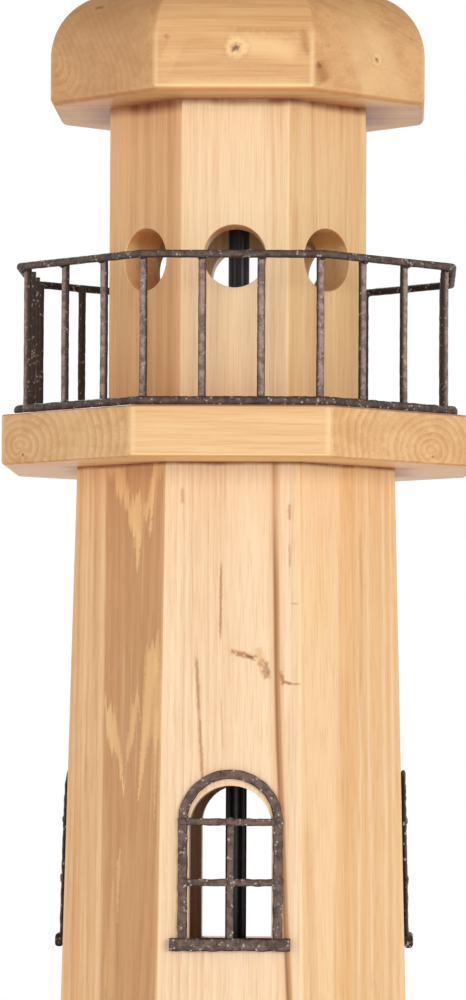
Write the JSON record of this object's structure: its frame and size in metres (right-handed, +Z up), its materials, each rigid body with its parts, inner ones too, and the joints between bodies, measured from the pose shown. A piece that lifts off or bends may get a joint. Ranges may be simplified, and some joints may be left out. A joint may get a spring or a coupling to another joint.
{
  "type": "floor lamp",
  "caption": "Octagonal wooden lighthouse floor lamp: tapered stave tower with arched iron windows, railed gallery, porthole lantern, domed cap and linen shade.",
  "frame": {"origin": "centre of the footprint, on the floor", "axes": "+Z up along the lamp pipe, -Y is the front with a window and the switch key, +X to the right seen from the front"},
  "size_m": [0.43, 0.43, 1.5807],
  "materials": {
    "wood": "clear-coated softwood, satin",
    "plywood": "bare plywood",
    "wrought_iron": "hammered, dark brown-black",
    "cast_iron": "rough casting",
    "black_enamel": "glossy black enamel",
    "steel": "zinc-plated",
    "brass": "satin",
    "aluminium": "drawn",
    "black_plastic": "moulded",
    "rubber": "matt",
    "paper": "pressed fibre",
    "opal_glass": "opal white",
    "linen": "lined linen weave"
  },
  "bodies": {
    "stand": {"plinth": "wood", "base_step": "wood", "rubber_feet": "rubber", "base_screws": "steel", "cord_bushing": "black_plastic", "pipe_foot_washer": "steel", "pipe_foot_nut": "steel", "tower_foot_disc": "plywood", "ballast_plate": "cast_iron", "tower_head_disc": "plywood", "tower_stave_front": "wood", "tower_stave_front_right": "wood", "tower_stave_right": "wood", "tower_stave_back_right": "wood", "tower_stave_back": "wood", "tower_stave_back_left": "wood", "tower_stave_left": "wood", "tower_stave_front_left": "wood", "window_frame_front": "wrought_iron", "window_frame_right": "wrought_iron", "window_frame_left": "wrought_iron", "window_sill_front": "wrought_iron", "window_sill_right": "wrought_iron", "window_sill_left": "wrought_iron", "gallery_deck": "wood", "railing_foot_rail": "wrought_iron", "railing_top_rail": "wrought_iron", "railing_posts": "wrought_iron", "lantern_foot_disc": "plywood", "lantern_head_disc": "plywood", "lantern_stave_front": "wood", "lantern_stave_front_right": "wood", "lantern_stave_right": "wood", "lantern_stave_back_right": "wood", "lantern_stave_back": "wood", "lantern_stave_back_left": "wood", "lantern_stave_left": "wood", "lantern_stave_front_left": "wood", "cap": "wood", "lamp_pipe": "black_enamel", "cap_washer": "brass", "cap_nut": "brass", "neck": "brass", "harp_saddle": "brass", "harp": "brass", "socket_cap": "brass", "socket_core": "black_plastic", "socket_liner": "paper", "socket_shell": "brass", "socket_thread": "brass", "bulb_base": "aluminium", "bulb_glass": "opal_glass"},
    "switch_key": {"switch_key": "black_plastic"},
    "shade": {"shade_cloth": "linen", "shade_spider": "brass", "shade_fitter": "brass", "shade_foot_ring": "brass"},
    "finial": {"finial": "wrought_iron"}
  },
  "joints": [
    {"name": "switch_turn", "type": "hinge", "parent": "stand", "child": "switch_key", "pos_m": [0, -0.02, 1.3441], "axis": [0, -1, 0], "continuous": true},
    {"name": "shade_turn", "type": "hinge", "parent": "stand", "child": "shade", "pos_m": [0, 0, 1.5481], "axis": [0, 0, 1], "continuous": true},
    {"name": "finial_turn", "type": "hinge", "parent": "stand", "child": "finial", "pos_m": [0, 0, 1.5531], "axis": [0, 0, 1], "continuous": true}
  ]
}
